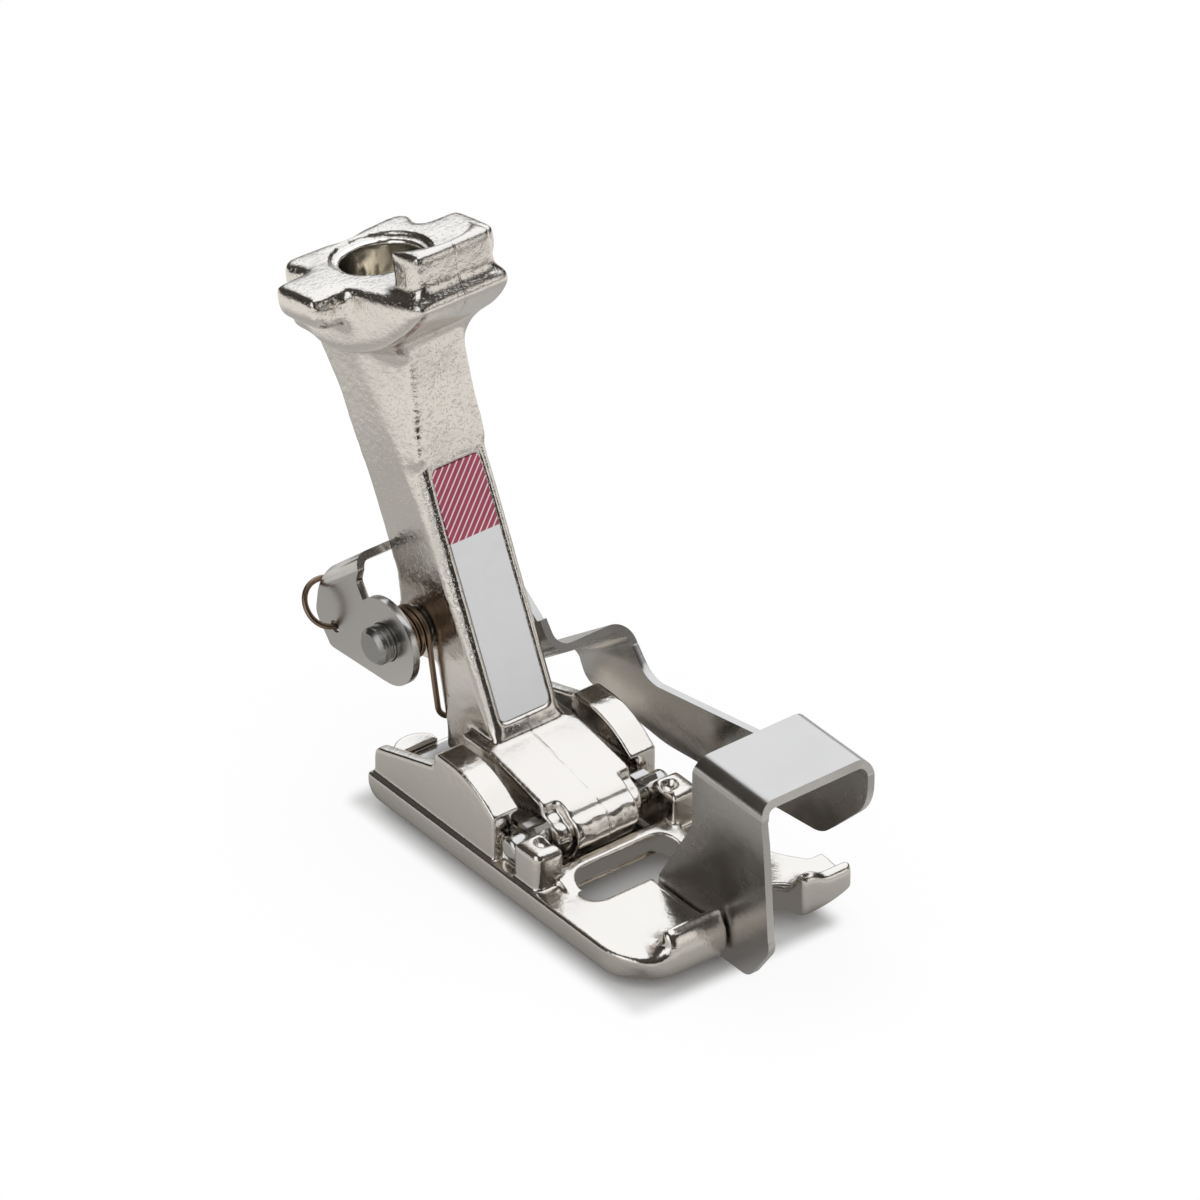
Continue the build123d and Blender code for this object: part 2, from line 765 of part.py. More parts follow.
# Arm: the right cheek turns out, runs over the rail and turns down into the side strip
arm_low = Vector(-arm_low_ahead, -arm_low_down)
arm_high = Vector(-arm_high_ahead, -arm_high_down)
arm_run = arm_high - arm_low
arm_dir = guide_back * arm_run.normalized().X + guide_up * arm_run.normalized().Y
arm_inset = Vector(arm_run.normalized().Y, -arm_run.normalized().X)
arm_section = Plane(origin=on_guide(arm_low.X, arm_low.Y), x_dir=(1, 0, 0), z_dir=arm_dir)
strip_high = arm_high - arm_inset * arm_bend_radius
strip_low = arm_low - arm_inset * arm_bend_radius
with BuildPart() as side_strip:
    add(arch_fold.part)
    with BuildSketch(guide_side.offset(arch_middle)):
        with BuildLine():
            FilletPolyline(
                (-arch_rear, 2 * arch_top),
                (-arch_rear + arch_trim, arch_top - 2 * bend_radius),
                (-arch_rear + 2 * arch_trim, -arch_top),
                (-arm_high_ahead - 2 * arm_bend_radius, -strip_top),
                strip_high,
                strip_low,
                (-arm_low_ahead - 2 * arch_trim, -strip_bottom * 0.94),
                (-arm_high_ahead - strip_top, -strip_bottom),
                (-arch_front + strip_top, -strip_bottom * 0.77),
                (-arch_front, -arch_top),
                (-arch_front, arch_top - 2 * bend_radius),
                (-arch_front + 2 * sheet, 2 * arch_top),
                radius=(0.4, 0.8, 2.0, 0.3, 0.3, 1.2, 8.0, 2.5, 1.4, 0.4),
            )
            Line((-arch_front + 2 * sheet, 2 * arch_top), (-arch_rear, 2 * arch_top))
        make_face()
    extrude(amount=side_plane, mode=Mode.INTERSECT)

# Guide, rear part: a wide fold round the stem, cut to the outline of each cheek
bridge_top = Vector(bridge_top_back, bridge_top_up)
bridge_low = Vector(bridge_low_back, bridge_low_up)
bridge_run = bridge_low - bridge_top
bridge_dir = guide_back * bridge_run.normalized().X + guide_up * bridge_run.normalized().Y
bridge_in = Vector(bridge_run.normalized().Y, -bridge_run.normalized().X)
bridge_section = Plane(
    origin=on_guide(bridge_top.X, bridge_top.Y) - bridge_dir * lobe_radius,
    x_dir=(1, 0, 0),
    z_dir=bridge_dir,
)
with BuildPart() as rear_fold:
    with BuildSketch(bridge_section):
        with BuildLine() as bridge_line:
            FilletPolyline(
                (-left_cheek, 3 * lobe_radius),
                (-left_cheek, 0),
                (right_cheek, 0),
                (right_cheek, 3 * lobe_radius),
                radius=bend_mid,
            )
        trace(bridge_line.line, line_width=sheet)
    extrude(amount=bridge_run.length + 2 * lobe_radius)

cheek_start = bridge_top - bridge_in * sheet
cheek_end = bridge_low - bridge_in * sheet
with BuildPart() as left_half:
    add(rear_fold.part)
    with BuildSketch(guide_side.offset(-left_cheek - sheet)):
        with BuildLine():
            FilletPolyline(
                cheek_start,
                (bridge_top_back - sheet, bridge_top_up - sheet),
                (lobe_radius, lobe_radius),
                (lobe_radius * 0.7, lobe_radius * 0.55),
                (-0.1 * lobe_radius, lobe_radius * 0.2),
                (-0.1 * lobe_radius, -lobe_radius),
                (cheek_reach * 0.82, -cheek_foot),
                (cheek_reach, -cheek_foot * 0.44),
                (cheek_reach * 0.95, cheek_foot * 0.28),
                cheek_end,
                radius=(0.3, 0.4, 0.6, 0.3, 0.3, 1.0, 1.0, 0.8),
            )
            Line(cheek_end, cheek_start)
        make_face()
        Circle(lobe_radius)
        Circle(guide_pin_radius + guide_pin_gap, mode=Mode.SUBTRACT)
        with Locations((hook_back, -hook_down)):
            Circle(hook_hole_radius, mode=Mode.SUBTRACT)
    extrude(amount=left_cheek + sheet, mode=Mode.INTERSECT)

arm_cheek_low = arm_low + arm_inset * arm_bend_radius
arm_cheek_high = arm_high + arm_inset * arm_bend_radius
with BuildPart() as right_half:
    add(rear_fold.part)
    with BuildSketch(guide_side):
        with BuildLine():
            FilletPolyline(
                cheek_start,
                (bridge_top_back - sheet, bridge_top_up - sheet),
                (lobe_radius * 0.45, lobe_radius * 0.8),
                (-0.8 * lobe_radius, lobe_radius * 0.57),
                arm_cheek_high,
                arm_cheek_low,
                (cheek_reach * 0.82, -cheek_foot),
                (cheek_reach, -cheek_foot * 0.44),
                (cheek_reach * 0.95, cheek_foot * 0.28),
                cheek_end,
                radius=(0.3, 0.6, 1.0, 0.2, 0.2, 1.0, 1.0, 0.8),
            )
            Line(cheek_end, cheek_start)
        make_face()
        Circle(guide_pin_radius + guide_pin_gap, mode=Mode.SUBTRACT)
    extrude(amount=right_cheek + sheet, mode=Mode.INTERSECT)

with BuildPart() as guide:
    add(blade.part)
    add(side_strip.part)
    add(left_half.part)
    add(right_half.part)
    with BuildSketch(arm_section):
        with BuildLine() as arm_line:
            FilletPolyline(
                (right_cheek, 1.8 * arm_bend_radius),
                (right_cheek, 0),
                (side_plane, 0),
                (side_plane, -2.2 * arm_bend_radius),
                radius=arm_bend_radius,
            )
        trace(arm_line.line, line_width=sheet)
    extrude(amount=arm_run.length)
guide.part.label = "guide"

# Torsion spring: one coil on the pin, a leg and bar hooked behind the stem, a ring in the cheek.
# The leg from the bar runs straight up and meets the coil as a tangent.
boss_share = (boss_height - stem_foot_up) / (stem_knee_up - stem_foot_up)
stem_half_boss = stem_half_low + (stem_half_knee - stem_half_low) * boss_share
coil_inner_x = stem_half_boss + coil_side_gap + wire_radius
bar_ahead = boss_back - (stem_rear_low + wire_radius + bar_gap)
bar_below = boss_height - (stem_foot_up + wire_radius)
bar_far = hypot(bar_ahead, bar_below)
leg_angle = atan2(bar_below, bar_ahead) - acos(coil_radius / bar_far)
leg_flat = (bar_far**2 - coil_radius**2) ** 0.5
leg_meets = -shank_back * cos(leg_angle) - shank_up * sin(leg_angle)
to_left = Vector(-1, 0, 0)
coil_plane = Plane(
    origin=on_shank(boss_back, boss_height, -coil_inner_x), x_dir=leg_meets, z_dir=to_left
)
coil_rise = coil_pitch / (2 * pi * coil_radius)
ring_dir = -guide_back * cos(radians(ring_angle)) - guide_up * sin(radians(ring_angle))
hook_at = on_guide(hook_back, -hook_down, -left_cheek)
ring_far = hook_at - ring_dir * 2 * ring_radius
with BuildPart() as torsion_spring:
    with BuildLine() as wire_line:
        coil = coil_plane * Helix(
            pitch=coil_pitch,
            height=coil_pitch * coil_turns,
            radius=coil_radius,
            mode=Mode.PRIVATE,
        )
        bar_corner = coil @ 0 - (coil % 0) * leg_flat * hypot(1, coil_rise)
        FilletPolyline(
            Vector(bar_reach, bar_corner.Y, bar_corner.Z),
            bar_corner,
            coil @ 0,
            radius=leg_bend,
        )
        add(coil)
        FilletPolyline(
            coil @ 1,
            coil @ 1 + (coil % 1) * end_straight,
            ring_far - to_left * ring_inside,
            ring_far + to_left * ring_radius,
            hook_at + to_left * ring_radius,
            hook_at - to_left * (sheet / 2 + hook_proud),
            radius=(end_bend, ring_entry, ring_round, ring_round),
        )
    with BuildSketch(Plane(origin=wire_line.line @ 0, z_dir=to_left)):
        RegularPolygon(wire_radius, side_count=wire_sides)
    sweep(path=wire_line.line)
torsion_spring.part.label = "torsion_spring"

os.makedirs("parts", exist_ok=True)
export_step(sole.part, "parts/sole.step")
export_step(sole_pin.part, "parts/sole_pin.step")
export_step(leaf_spring.part, "parts/leaf_spring.step")
export_step(shank.part, "parts/shank.step")
export_step(label.part, "parts/label.step")
export_step(guide_pin.part, "parts/guide_pin.step")
export_step(guide.part, "parts/guide.step")
export_step(torsion_spring.part, "parts/torsion_spring.step")
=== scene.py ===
from math import cos, radians, sin

import bmesh
import bpy
import numpy as np
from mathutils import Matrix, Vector


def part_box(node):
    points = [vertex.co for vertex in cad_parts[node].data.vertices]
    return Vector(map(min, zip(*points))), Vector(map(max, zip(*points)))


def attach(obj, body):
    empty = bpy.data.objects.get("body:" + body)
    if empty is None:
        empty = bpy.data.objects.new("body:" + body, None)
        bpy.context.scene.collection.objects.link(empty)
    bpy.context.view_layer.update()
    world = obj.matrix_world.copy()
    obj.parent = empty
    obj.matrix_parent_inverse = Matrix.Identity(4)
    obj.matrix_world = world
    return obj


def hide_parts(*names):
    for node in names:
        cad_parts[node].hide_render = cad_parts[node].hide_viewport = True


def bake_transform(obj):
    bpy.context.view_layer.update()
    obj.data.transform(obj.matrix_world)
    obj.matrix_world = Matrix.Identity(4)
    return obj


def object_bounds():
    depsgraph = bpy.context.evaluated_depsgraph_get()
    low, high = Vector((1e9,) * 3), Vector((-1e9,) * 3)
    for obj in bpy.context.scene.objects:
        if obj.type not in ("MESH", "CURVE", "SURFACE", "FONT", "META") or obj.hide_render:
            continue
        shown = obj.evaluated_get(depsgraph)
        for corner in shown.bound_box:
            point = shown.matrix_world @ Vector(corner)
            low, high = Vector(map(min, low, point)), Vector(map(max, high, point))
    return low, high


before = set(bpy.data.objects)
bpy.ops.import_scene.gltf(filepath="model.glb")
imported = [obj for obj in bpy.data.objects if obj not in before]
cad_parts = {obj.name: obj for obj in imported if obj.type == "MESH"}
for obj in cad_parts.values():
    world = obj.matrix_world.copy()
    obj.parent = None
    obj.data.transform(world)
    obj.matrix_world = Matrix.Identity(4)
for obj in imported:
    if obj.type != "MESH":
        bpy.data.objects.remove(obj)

cad_box = [list(corner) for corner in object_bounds()]
mm = 0.001

# Camera: a long lens from the left front, a little above, as in the photograph.
# The photograph shows 17.14 px for each millimetre at the middle of the foot.
photo_px = 1200
px_per_mm = 17.14
camera_azimuth = radians(-38.03)
camera_height = radians(34.6)
camera_distance = 800 * mm
sensor_width = 36.0
looked_at = Vector((0, -1.29, 18.99)) * mm
camera_back = Vector((
    sin(camera_azimuth) * cos(camera_height),
    -cos(camera_azimuth) * cos(camera_height),
    sin(camera_height),
))
camera_data = bpy.data.cameras.new("photo_camera")
camera_data.sensor_width = sensor_width
camera_data.lens = sensor_width * px_per_mm * camera_distance / mm / photo_px
camera_data.clip_start = 0.01
camera_data.clip_end = 20
camera = bpy.data.objects.new("photo_camera", camera_data)
camera.location = looked_at + camera_back * camera_distance
camera.rotation_euler = camera_back.to_track_quat("Z", "Y").to_euler()
bpy.context.scene.collection.objects.link(camera)
bpy.context.scene.camera = camera
bpy.context.scene.view_settings.view_transform = "Standard"


# Studio: white paper under the foot in a dark room, with soft panels behind, above and in
# front at the right, and two at the left. Polished metal is only as lively as what it
# mirrors, so mirrors see the room and its panels, and matt surfaces are lit evenly.
def wire(tree, kind, inputs=None, **settings):
    """Adds a shader node; each input is a value, or another node's output."""
    made = tree.nodes.new("ShaderNode" + kind)
    for name, value in settings.items():
        setattr(made, name, value)
    for name, value in (inputs or {}).items():
        if isinstance(value, bpy.types.NodeSocket):
            tree.links.new(value, made.inputs[name])
        elif isinstance(value, bpy.types.Node):
            tree.links.new(value.outputs[0], made.inputs[name])
        else:
            made.inputs[name].default_value = value
    return made


def aim(azimuth, height):
    """Unit vector to a place in the studio: azimuth from the back towards the right."""
    a, h = radians(azimuth), radians(height)
    return Vector((sin(a) * cos(h), cos(a) * cos(h), sin(h)))


room_low = (0.030, 0.026, 0.022, 1)
room_high = (0.07, 0.063, 0.056, 1)
room_high_at = 0.9
even_light = (0.86, 0.86, 0.86, 1)
white_light = (1, 1, 1, 1)
panels = (
    # azimuth, height, degrees from the middle where it is full and where it ends, light
    (40, 34, 21, 36, (1.15, 1.19, 1.25, 1)),
    (85, 62, 26, 38, (1.15, 1.19, 1.25, 1)),
    (116, 46, 12, 22, (1.10, 1.13, 1.18, 1)),
    (149, 3, 9, 27, (0.86, 0.85, 0.835, 1)),
    (-104, 4, 16, 34, (1.10, 1.12, 1.15, 1)),
    (-92, 34, 13, 27, (1.15, 1.18, 1.22, 1)),
)
world = bpy.data.worlds.new("studio")
bpy.context.scene.world = world
world.use_nodes = True
sky = world.node_tree
sky.nodes.clear()
sky_way = wire(sky, "TexCoord")
sky_height = wire(sky, "SeparateXYZ", {"Vector": sky_way.outputs["Generated"]})
room = wire(sky, "ValToRGB", {"Fac": sky_height.outputs["Z"]})
room.color_ramp.elements[0].position = 0.0
room.color_ramp.elements[0].color = room_low
room.color_ramp.elements[1].position = room_high_at
room.color_ramp.elements[1].color = room_high
mirrored = room
for azimuth, height, full, ends, light in panels:
    toward = wire(sky, "VectorMath", {
        0: sky_way.outputs["Generated"],
        1: aim(azimuth, height),
    }, operation="DOT_PRODUCT")
    inside = wire(sky, "MapRange", {
        "Value": toward.outputs["Value"],
        "From Min": cos(radians(ends)),
        "From Max": cos(radians(full)),
    }, interpolation_type="SMOOTHSTEP")
    mirrored = wire(sky, "MixRGB", {"Fac": inside, "Color1": mirrored, "Color2": light})
sky_ray = wire(sky, "LightPath")
around = wire(sky, "MixRGB", {
    "Fac": sky_ray.outputs["Is Glossy Ray"],
    "Color1": even_light,
    "Color2": mirrored,
})
behind = wire(sky, "MixRGB", {
    "Fac": sky_ray.outputs["Is Camera Ray"],
    "Color1": around,
    "Color2": white_light,
})
sky_light = wire(sky, "Background", {"Color": behind, "Strength": 1.0})
wire(sky, "OutputWorld", {"Surface": sky_light})


def soft_box(name, azimuth, height, distance, width, tall, watts):
    """A rectangular lamp that faces the middle of the foot."""
    data = bpy.data.lights.new(name, "AREA")
    data.shape = "RECTANGLE"
    data.size = width
    data.size_y = tall
    data.energy = watts
    lamp = bpy.data.objects.new(name, data)
    lamp.visible_glossy = False
    lamp.location = looked_at + aim(azimuth, height) * distance
    lamp.rotation_euler = aim(azimuth, height).to_track_quat("Z", "Y").to_euler()
    bpy.context.scene.collection.objects.link(lamp)


soft_box(
    "lamp_over", azimuth=30, height=62, distance=0.5, width=0.30, tall=0.24, watts=0.45
)

floor_reach = 3.0
floor_gap = 0.02 * mm
floor_low = cad_box[0][2] - floor_gap
footprint_middle = (0.4 * mm, 0.0, 0.0)
footprint_half = (6.8 * mm, 13.1 * mm, 10.0)
shadow_edge = 1.6 * mm
open_share = 0.86
open_light = 1.03
# Mirrors see the paper as a glow with painted shade: darker near the foot, with painted
# brighter and darker bands further off, fading to dark far away.
shade_scale = 4.0
shade_near = (0.17, 0.165, 0.16, 1)
shade_far = (0.10, 0.09, 0.08, 1)
shade_green, shade_blue = 0.99, 0.97
paper_white = (0.86, 0.86, 0.86, 1)
shade_stops = (
    # distance from the footprint in millimetres, painted level of light and shade that mirrors
    # see
    (2, 0.38), (5, 0.44), (8, 0.64), (14, 0.49), (34, 0.44), (50, 0.86), (160, 0.80)
)
floor_mesh = bpy.data.meshes.new("table")
floor_mesh.from_pydata(
    [
        (-floor_reach, -floor_reach, floor_low),
        (floor_reach, -floor_reach, floor_low),
        (floor_reach, floor_reach, floor_low),
        (-floor_reach, floor_reach, floor_low),
    ],
    [],
    [(0, 1, 2, 3)],
)
table = bpy.data.objects.new("table", floor_mesh)
bpy.context.scene.collection.objects.link(table)
paper = bpy.data.materials.new("white_paper")
paper.use_nodes = True
paper_nodes = paper.node_tree
paper_nodes.nodes.clear()
paper_place = wire(paper_nodes, "TexCoord")
from_middle = wire(paper_nodes, "VectorMath", {
    0: paper_place.outputs["Object"],
    1: footprint_middle,
}, operation="SUBTRACT")
either_side = wire(paper_nodes, "VectorMath", {0: from_middle}, operation="ABSOLUTE")
beyond = wire(paper_nodes, "VectorMath", {
    0: either_side,
    1: footprint_half,
}, operation="SUBTRACT")
outside = wire(paper_nodes, "VectorMath", {0: beyond, 1: (0, 0, 0)}, operation="MAXIMUM")
away = wire(paper_nodes, "VectorMath", {0: outside}, operation="LENGTH")
open_paper = wire(paper_nodes, "MapRange", {
    "Value": away.outputs["Value"],
    "From Min": 0.0,
    "From Max": shadow_edge,
    "To Min": 0.0,
    "To Max": open_share,
}, interpolation_type="SMOOTHSTEP")
# Painted shade: the glow level that mirrors see at each distance from the foot.
painted_paper_shade = wire(paper_nodes, "ValToRGB", {
    "Fac": wire(paper_nodes, "Math", {
        0: away.outputs["Value"],
        1: shade_scale,
    }, operation="MULTIPLY"),
})
painted_paper_shade.color_ramp.elements[0].position = 0.0
painted_paper_shade.color_ramp.elements[0].color = shade_near
painted_paper_shade.color_ramp.elements[1].position = 1.0
painted_paper_shade.color_ramp.elements[1].color = shade_far
for away_mm, level in shade_stops:
    stop = painted_paper_shade.color_ramp.elements.new(away_mm * mm * shade_scale)
    stop.color = (level, level * shade_green, level * shade_blue, 1)
# Camera rays see the white glow, thinned under the foot so its real shadow shows; mirrors see
# only the painted shade.
paper_ray = wire(paper_nodes, "LightPath")
paper_light = wire(paper_nodes, "MixRGB", {
    "Fac": paper_ray.outputs["Is Camera Ray"],
    "Color1": painted_paper_shade,
    "Color2": white_light,
})
in_mirror = wire(paper_nodes, "Math", {
    0: paper_ray.outputs["Is Glossy Ray"],
    1: paper_ray.outputs["Is Transmission Ray"],
}, operation="MAXIMUM")
in_view = wire(paper_nodes, "Math", {
    0: paper_ray.outputs["Is Camera Ray"],
    1: open_paper,
}, operation="MULTIPLY")
glow = wire(paper_nodes, "Math", {0: in_mirror, 1: in_view}, operation="MAXIMUM")
white = wire(paper_nodes, "Emission", {"Color": paper_light, "Strength": open_light})
matt = wire(paper_nodes, "BsdfDiffuse", {"Color": paper_white})
paper_mix = wire(paper_nodes, "MixShader", {0: glow, 1: matt, 2: white})
wire(paper_nodes, "OutputMaterial", {"Surface": paper_mix})
floor_mesh.materials.append(paper)


# Shank: one zinc die-casting, nickel plated, with rounded edges and slightly wavy faces. A
# machine's bar goes into its bore, and the sole hangs on the knuckle at the arm's end.
# Lengths in the shape functions are in millimetres.
weld_gap = 0.0005 * mm
cloud_scale = 300.0
cloud_range, dull_spread = (0.38, 0.66), 0.09
patch_range, patch_grain = (0.40, 0.60), (0.10, 0.42)
pit_range = (0.60, 0.70)
grain_share = 4.2
pit_share = 2.6
bend_scale = 350.0
seam_wander = 0.12 * mm
seam_core = 0.02 * mm
seam_edge = 0.09 * mm
seam_height = 0.65
calm_share = 0.35
calm_fade = 4 * mm


def solid_of(node, name):
    """A welded copy of a node's mesh, linked into the scene as a new piece."""
    piece = bpy.data.objects.new(name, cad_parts[node].data.copy())
    bpy.context.scene.collection.objects.link(piece)
    shell = bmesh.new()
    shell.from_mesh(piece.data)
    bmesh.ops.remove_doubles(shell, verts=shell.verts, dist=weld_gap)
    shell.to_mesh(piece.data)
    shell.free()
    piece.data.materials.clear()
    return piece


def apply_all(piece):
    """Turns the piece's modifiers into its mesh."""
    ready = piece.evaluated_get(bpy.context.evaluated_depsgraph_get())
    piece.data = bpy.data.meshes.new_from_object(ready)
    piece.modifiers.clear()


def cast_skin(piece, voxel, rounds, wave, wave_size, keep, shape, softer, extra):
    """Gives a solid the rounded edges and the slightly uneven faces of a plated casting."""
    skin = piece.modifiers.new("skin", "REMESH")
    skin.mode = "VOXEL"
    skin.voxel_size = voxel
    apply_all(piece)
    count = len(piece.data.vertices)
    flat = np.empty(3 * count)
    piece.data.vertices.foreach_get("co", flat)
    at = flat.reshape(-1, 3) / mm
    at = shape(at)
    piece.data.vertices.foreach_set("co", (at * mm).ravel())
    zone = piece.vertex_groups.new(name="softer")
    share = np.round(softer(at), 1)
    for level in np.unique(share):
        if level > 0:
            chosen = np.flatnonzero(share == level).tolist()
            zone.add(chosen, float(level), "REPLACE")
    soft = piece.modifiers.new("soft", "SMOOTH")
    soft.factor = 1.0
    soft.iterations = rounds
    rounder = piece.modifiers.new("rounder", "SMOOTH")
    rounder.factor = 1.0
    rounder.iterations = extra
    rounder.vertex_group = "softer"
    swell = bpy.data.textures.new(piece.name + "_wave", "CLOUDS")
    swell.noise_scale = wave_size
    ripple = piece.modifiers.new("ripple", "DISPLACE")
    ripple.texture = swell
    ripple.texture_coords = "LOCAL"
    ripple.strength = wave
    ripple.mid_level = 0.5
    fewer = piece.modifiers.new("fewer", "DECIMATE")
    fewer.ratio = keep
    apply_all(piece)
    keep_in_box(piece)
    piece.data.shade_smooth()


def keep_in_box(piece):
    """Holds a piece inside the measured box of the solids."""
    low, high = (Vector(corner) for corner in cad_box)
    for vertex in piece.data.vertices:
        for axis in range(3):
            vertex.co[axis] = min(max(vertex.co[axis], low[axis]), high[axis])


def ease(value, low, high):
    """Smooth step of an array from 0 at low to 1 at high."""
    t = np.clip((value - low) / (high - low), 0, 1)
    return t * t * (3 - 2 * t)


def nickel(name, tint, rough, peel, peel_size, pits, calm):
    """Bright nickel plate over cast metal: uneven skin, fine grain, small pits and a seam.

    calm gives the height, in metres, below which the skin is smoother.
    """
    material = bpy.data.materials.new(name)
    material.use_nodes = True
    tree = material.node_tree
    tree.nodes.clear()
    place = wire(tree, "TexCoord")
    here = place.outputs["Object"]
    clouds = wire(tree, "TexNoise", {"Vector": here, "Scale": cloud_scale, "Detail": 4.0})
    dull = wire(tree, "MapRange", {
        "Value": clouds.outputs["Fac"],
        "From Min": cloud_range[0],
        "From Max": cloud_range[1],
        "To Min": rough,
        "To Max": rough + dull_spread,
    })
    skin = wire(tree, "TexNoise", {"Vector": here, "Scale": 1 / peel_size, "Detail": 2.0})
    grain = wire(tree, "TexNoise", {
        "Vector": here,
        "Scale": grain_share / peel_size,
        "Detail": 2.0,
    })
    spots = wire(tree, "TexNoise", {
        "Vector": here,
        "Scale": pit_share / peel_size,
        "Detail": 1.0,
    })
    holes = wire(tree, "MapRange", {
        "Value": spots.outputs["Fac"],
        "From Min": pit_range[0],
        "From Max": pit_range[1],
        "To Min": 0.0,
        "To Max": -pits,
    })
    patches = wire(tree, "MapRange", {
        "Value": clouds.outputs["Fac"],
        "From Min": patch_range[0],
        "From Max": patch_range[1],
        "To Min": patch_grain[0],
        "To Max": patch_grain[1],
    })
    fine = wire(tree, "Math", {0: grain.outputs["Fac"], 1: patches}, operation="MULTIPLY")
    uneven = wire(tree, "Math", {0: skin.outputs["Fac"], 1: fine}, operation="ADD")
    rough_skin = wire(tree, "Math", {0: uneven, 1: holes}, operation="ADD")
    part = wire(tree, "SeparateXYZ", {"Vector": here})
    strong = wire(tree, "MapRange", {
        "Value": part.outputs["Z"],
        "From Min": calm,
        "From Max": calm + calm_fade,
        "To Min": calm_share,
        "To Max": 1.0,
    })
    cast = wire(tree, "Math", {0: rough_skin, 1: strong}, operation="MULTIPLY")
    bend = wire(tree, "TexNoise", {"Vector": here, "Scale": bend_scale, "Detail": 1.0})
    wander = wire(tree, "MapRange", {
        "Value": bend.outputs["Fac"],
        "To Min": -seam_wander,
        "To Max": seam_wander,
    })
    from_middle = wire(tree, "Math", {0: part.outputs["X"], 1: wander}, operation="ADD")
    beside = wire(tree, "Math", {0: from_middle}, operation="ABSOLUTE")
    seam = wire(tree, "MapRange", {
        "Value": beside,
        "From Min": seam_core,
        "From Max": seam_edge,
        "To Min": seam_height,
        "To Max": 0.0,
    })
    height = wire(tree, "Math", {0: cast, 1: seam}, operation="ADD")
    bump = wire(tree, "Bump", {"Strength": 1.0, "Distance": peel, "Height": height})
    metal = wire(tree, "BsdfPrincipled", {
        "Base Color": (*tint, 1),
        "Metallic": 1.0,
        "Roughness": dull,
        "Normal": bump,
    })
    wire(tree, "OutputMaterial", {"Surface": metal})
    return material


pivot_z = 2.9
lean = radians(12)
stem_foot = (4.5, 4.1)
stem_knee = (8.5, 21.0)
stem_run = np.subtract(stem_knee, stem_foot)
stem_way = stem_run / float(np.hypot(*stem_run))
skin_depth = 0.3  # faces up to this far in front of a nominal face still belong to it
facet_from, facet_length, facet_depth, facet_curve = 16.5, 12, 4.8, 1.3
facet_slope, facet_most = 0.20, 4
facet_ends = (28.0, 29.3)
facet_inner, facet_width, facet_outer = 1.0, 1.4, 4.2
label_from, label_to = 1.0, 17.2
label_lead, label_tail = 0.9, 0.7
shoulder_from, shoulder_width, shoulder_reach = 1.98, 0.65, 0.8
shoulder_drop, shoulder_depth = 0.55, 1.4
lip_starts, lip_ends = (44, 60), (88, 110)  # degrees from the top of the knuckle
lip_half = (2.8, 3.3)
lip_swell, lump_height = 0.22, 0.08
lump_waves = (
    # turn for each millimetre along x and along z, start, share
    (2.1, 0.0, 1.7, 0.4),
    (3.7, 1.9, 0.4, 0.4),
    (5.3, -2.7, 2.0, 0.2),
)
crease_at, crease_spread, crease_depth = 42, 4.5, 0.11
knuckle_reach = 3.2
bore_back = 13.1
bore_keep = (3.15, 3.5)
bore_wall, bore_low = 2.75, 26
head_from = (26.5, 28.5)
stem_soft_from, stem_soft = (22.5, 24.5), 0.3


def in_shank(at):
    """Points in the leaning shank's own directions: across, back and up from the sole pin."""
    back = at[:, 1] * cos(lean) - (at[:, 2] - pivot_z) * sin(lean)
    up = at[:, 1] * sin(lean) + (at[:, 2] - pivot_z) * cos(lean)
    return np.array((at[:, 0], back, up))


def shank_shape(at):
    """Side facets that narrow the stem under the head, shoulders beside the label, and the
    rough lip that the mould left over the knuckle."""
    side, back, up = in_shank(at)
    side = np.abs(side)
    front = np.where(
        up < stem_knee[1],
        stem_foot[0] + (up - stem_foot[1]) * stem_run[0] / stem_run[1],
        stem_knee[0],
    )
    depth = back - front
    facet = facet_depth * np.clip((up - facet_from) / facet_length, 0, 1) ** facet_curve
    push = facet_slope * np.clip(facet - depth, 0, facet_most) * (depth > -skin_depth)
    push *= 1 - ease(up, *facet_ends)
    push *= np.clip((side - facet_inner) / facet_width, 0, 1) * (side < facet_outer)
    at[:, 0] -= np.sign(at[:, 0]) * push
    side = np.abs(at[:, 0])
    length = (back - stem_foot[0]) * stem_way[0] + (up - stem_foot[1]) * stem_way[1]
    inward = (back - stem_foot[0]) * stem_way[1] - (up - stem_foot[1]) * stem_way[0]
    along_label = ease(length, label_from - label_lead, label_from)
    along_label *= 1 - ease(length, label_to, label_to + label_tail)
    outside = np.clip(side - shoulder_from, 0, shoulder_reach) / shoulder_width
    drop = shoulder_drop * outside ** 2
    drop *= along_label * (1 - np.clip(inward / shoulder_depth, 0, 1)) * (inward > -skin_depth)
    at[:, 1] += drop * (stem_way[1] * cos(lean) - stem_way[0] * sin(lean))
    at[:, 2] -= drop * (stem_way[1] * sin(lean) + stem_way[0] * cos(lean))
    x, y, z = at.T
    turned = np.degrees(np.arctan2(-y, z - pivot_z))
    reach = np.hypot(y, z - pivot_z)
    on_knuckle = (1 - ease(side, *lip_half)) * (reach < knuckle_reach)
    lip = ease(turned, *lip_starts) * (1 - ease(turned, *lip_ends)) * on_knuckle
    lumps = sum(
        np.sin(along_x * x + along_z * z + start) * share
        for along_x, along_z, start, share in lump_waves
    )
    crease = np.exp(-(((turned - crease_at) / crease_spread) ** 2)) * on_knuckle
    swollen = lip * (lip_swell + lump_height * lumps) - crease_depth * crease
    swollen /= np.maximum(reach, 1.0)
    at[:, 1] += swollen * y
    at[:, 2] += swollen * (z - pivot_z)
    return at


def shank_softer(at):
    """Where the casting is rounder: the head and the stem above the label, not the bore."""
    across, back, up = in_shank(at)
    from_bore = np.hypot(across, back - bore_back)
    head = ease(up, *head_from) * ease(from_bore, *bore_keep)
    stem = stem_soft * ease(up, *stem_soft_from) * (1 - ease(up, *head_from))
    return head + stem


